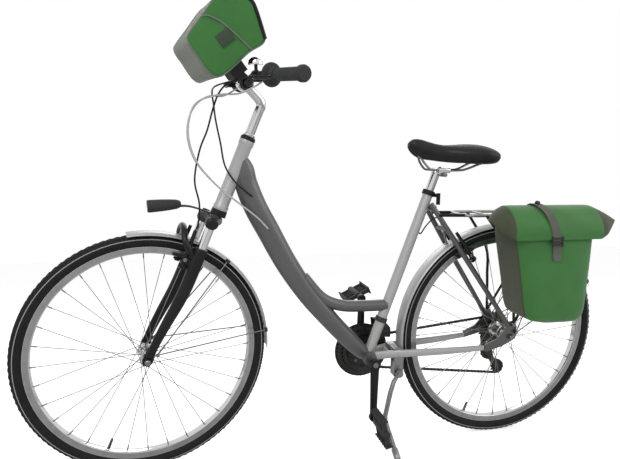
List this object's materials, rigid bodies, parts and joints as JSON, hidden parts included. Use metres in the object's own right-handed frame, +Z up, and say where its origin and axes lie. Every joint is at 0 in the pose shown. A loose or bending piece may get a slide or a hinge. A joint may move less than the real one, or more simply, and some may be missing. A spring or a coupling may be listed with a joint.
{
  "type": "hybrid bicycle",
  "caption": "Low step-through trekking bicycle with suspension fork, mudguards, rack, side bag and bar bag, leaning on its side stand.",
  "frame": {"origin": "middle of the underside of the box round the parked bicycle, on the floor between the tyres and the stand's foot", "axes": "+Z up, +X from the front wheel towards the rear wheel, +Y towards the bicycle's right side, which is the chain side; the bicycle leans 7 degrees to its left onto the stand"},
  "size_m": [1.8296, 0.5946, 1.3357],
  "materials": {
    "frame_grey": "satin",
    "silver_paint": "satin",
    "fork_black": "satin",
    "bright_alloy": "polished",
    "dull_steel": "brushed",
    "black_plastic": "matte",
    "grip_grey": "matte",
    "tyre_black": "matte",
    "chain_steel": "oiled",
    "saddle_black": "matte grained",
    "bag_green": "matte coated",
    "cable_pale": "smooth",
    "cable_black": "smooth",
    "lamp_black": "smooth"
  },
  "bodies": {
    "frame": {"front_frame": "frame_grey", "chainstays": "silver_paint", "seatstays": "silver_paint", "seat_clamp": "black_plastic", "headset_upper": "fork_black", "rear_axle": "dull_steel", "front_derailleur": "dull_steel", "rear_derailleur": "dull_steel", "chain": "chain_steel", "rear_mudguard": "bright_alloy", "rack": "bright_alloy", "pannier": "bag_green", "pannier_hooks": "black_plastic", "kickstand_bracket": "dull_steel", "shift_cable_front": "cable_pale", "shift_cable_rear": "cable_pale", "rear_brake_cable_front": "cable_black", "rear_brake_cable_rear": "cable_black"},
    "kickstand": {"kickstand_leg": "dull_steel"},
    "seat": {"seatpost": "bright_alloy", "saddle_rails": "dull_steel", "saddle": "saddle_black"},
    "crankset": {"crank_left": "fork_black", "crank_right": "fork_black", "chainrings": "dull_steel", "chain_guard": "black_plastic"},
    "left_pedal": {"pedal_left": "black_plastic"},
    "right_pedal": {"pedal_right": "black_plastic"},
    "sprockets": {"cassette": "dull_steel"},
    "lower_pulley": {"tension_pulley": "black_plastic"},
    "upper_pulley": {"guide_pulley": "black_plastic"},
    "rear_left_arm": {"rear_brake_left": "bright_alloy"},
    "rear_right_arm": {"rear_brake_right": "bright_alloy"},
    "rear_wheel": {"rear_hub": "bright_alloy", "rear_rim": "bright_alloy", "rear_tyre": "tyre_black"},
    "steering": {"fork_upper": "fork_black", "stem": "bright_alloy", "handlebar": "fork_black", "bell": "bright_alloy", "bag_bracket": "black_plastic", "handlebar_bag": "bag_green", "headlight": "lamp_black", "grip_left": "grip_grey", "grip_right": "grip_grey", "lever_mount_left": "black_plastic", "lever_mount_right": "black_plastic", "front_brake_cable": "cable_black"},
    "left_shifter": {"shifter_left": "black_plastic"},
    "right_shifter": {"shifter_right": "black_plastic"},
    "left_lever": {"brake_lever_left": "black_plastic"},
    "right_lever": {"brake_lever_right": "black_plastic"},
    "lowers": {"fork_lowers": "fork_black", "front_mudguard": "bright_alloy", "front_axle": "dull_steel"},
    "front_left_arm": {"front_brake_left": "bright_alloy"},
    "front_right_arm": {"front_brake_right": "bright_alloy"},
    "front_wheel": {"front_hub": "bright_alloy", "front_rim": "bright_alloy", "front_tyre": "tyre_black"}
  },
  "joints": [
    {"name": "steering_turn", "type": "hinge", "parent": "frame", "child": "steering", "pos_m": [-0.52514, 0.09968, 0.3313], "axis": [0.3709, -0.1132, 0.9218], "range_deg": [-53, 37], "deforming": ["shift_cable_front", "shift_cable_rear", "rear_brake_cable_front"]},
    {"name": "fork_slide", "type": "slide", "parent": "steering", "child": "lowers", "axis": [0.3709, -0.1132, 0.9218], "range_m": [0, 0.038], "stiffness_N_per_m": 6000, "springref_m": -0.02, "deforming": ["front_brake_cable"]},
    {"name": "front_wheel_spin", "type": "hinge", "parent": "lowers", "child": "front_wheel", "pos_m": [-0.56653, 0.09145, 0.34694], "axis": [-0.1292, 0.9766, 0.1719], "continuous": true},
    {"name": "rear_wheel_spin", "type": "hinge", "parent": "frame", "child": "rear_wheel", "pos_m": [0.56477, 0.09758, 0.34843], "axis": [0, 0.9925, 0.1219], "continuous": true},
    {"name": "crank_spin", "type": "hinge", "parent": "frame", "child": "crankset", "pos_m": [0.1059, 0.10472, 0.29024], "axis": [0, 0.9925, 0.1219], "continuous": true},
    {"name": "cassette_spin", "type": "hinge", "parent": "frame", "child": "sprockets", "pos_m": [0.56477, 0.09758, 0.34843], "axis": [0, 0.9925, 0.1219], "continuous": true},
    {"name": "tension_pulley_spin", "type": "hinge", "parent": "frame", "child": "lower_pulley", "pos_m": [0.59466, 0.1545, 0.20897], "axis": [0, 0.9925, 0.1219], "continuous": true},
    {"name": "guide_pulley_spin", "type": "hinge", "parent": "frame", "child": "upper_pulley", "pos_m": [0.55691, 0.14775, 0.26392], "axis": [0, 0.9925, 0.1219], "continuous": true},
    {"name": "left_pedal_spin", "type": "hinge", "parent": "crankset", "child": "left_pedal", "pos_m": [0.10598, -0.016, 0.10414], "axis": [0, 0.9925, 0.1219], "continuous": true},
    {"name": "right_pedal_spin", "type": "hinge", "parent": "crankset", "child": "right_pedal", "pos_m": [0.10581, 0.22544, 0.47634], "axis": [0, 0.9925, 0.1219], "continuous": true},
    {"name": "kickstand_fold", "type": "hinge", "parent": "frame", "child": "kickstand", "pos_m": [0.19892, 0.07689, 0.2379], "axis": [0, -0.9925, -0.1219], "range_deg": [0, 86]},
    {"name": "saddle_height", "type": "slide", "parent": "frame", "child": "seat", "axis": [0.3366, -0.1148, 0.9346], "range_m": [-0.03, 0.06]},
    {"name": "left_shifter_turn", "type": "hinge", "parent": "steering", "child": "left_shifter", "pos_m": [-0.23257, -0.16871, 1.092], "axis": [0.4119, -0.8933, -0.1799], "range_deg": [0, 60]},
    {"name": "right_shifter_turn", "type": "hinge", "parent": "steering", "child": "right_shifter", "pos_m": [-0.27629, 0.16167, 1.15016], "axis": [0.1647, 0.975, 0.149], "range_deg": [0, 100]},
    {"name": "left_lever_pull", "type": "hinge", "parent": "steering", "child": "left_lever", "pos_m": [-0.27306, -0.14759, 1.08624], "axis": [0.0028, -0.173, 0.9849], "range_deg": [0, 12], "stiffness_Nm_per_rad": 0.6, "springref_deg": -20.05},
    {"name": "right_lever_pull", "type": "hinge", "parent": "steering", "child": "right_lever", "pos_m": [-0.31035, 0.13421, 1.13585], "axis": [-0.0028, 0.173, -0.9849], "range_deg": [0, 12], "stiffness_Nm_per_rad": 0.6, "springref_deg": -20.05},
    {"name": "front_left_arm_turn", "type": "hinge", "parent": "lowers", "child": "front_left_arm", "pos_m": [-0.45518, 0.0139, 0.60072], "axis": [-0.9196, -0.1829, 0.3476], "range_deg": [0, 2.6]},
    {"name": "front_right_arm_turn", "type": "hinge", "parent": "lowers", "child": "front_right_arm", "pos_m": [-0.4672, 0.10472, 0.61671], "axis": [0.9196, 0.1829, -0.3476], "range_deg": [0, 2.6]},
    {"name": "rear_left_arm_turn", "type": "hinge", "parent": "frame", "child": "rear_left_arm", "pos_m": [0.42495, 0.02112, 0.58959], "axis": [-0.8214, 0.0695, -0.5661], "range_deg": [0, 2.6]},
    {"name": "rear_right_arm_turn", "type": "hinge", "parent": "frame", "child": "rear_right_arm", "pos_m": [0.42495, 0.11342, 0.60092], "axis": [0.8214, -0.0695, 0.5661], "range_deg": [0, 2.6]}
  ],
  "couplings": [
    {"joint": "cassette_spin", "follows": "crank_spin", "ratio": 1.3333},
    {"joint": "tension_pulley_spin", "follows": "crank_spin", "ratio": 2.1818},
    {"joint": "guide_pulley_spin", "follows": "crank_spin", "ratio": -2.1818},
    {"joint": "front_left_arm_turn", "follows": "left_lever_pull", "ratio": 0.2166},
    {"joint": "front_right_arm_turn", "follows": "left_lever_pull", "ratio": 0.2166},
    {"joint": "rear_left_arm_turn", "follows": "right_lever_pull", "ratio": 0.2166},
    {"joint": "rear_right_arm_turn", "follows": "right_lever_pull", "ratio": 0.2166}
  ]
}
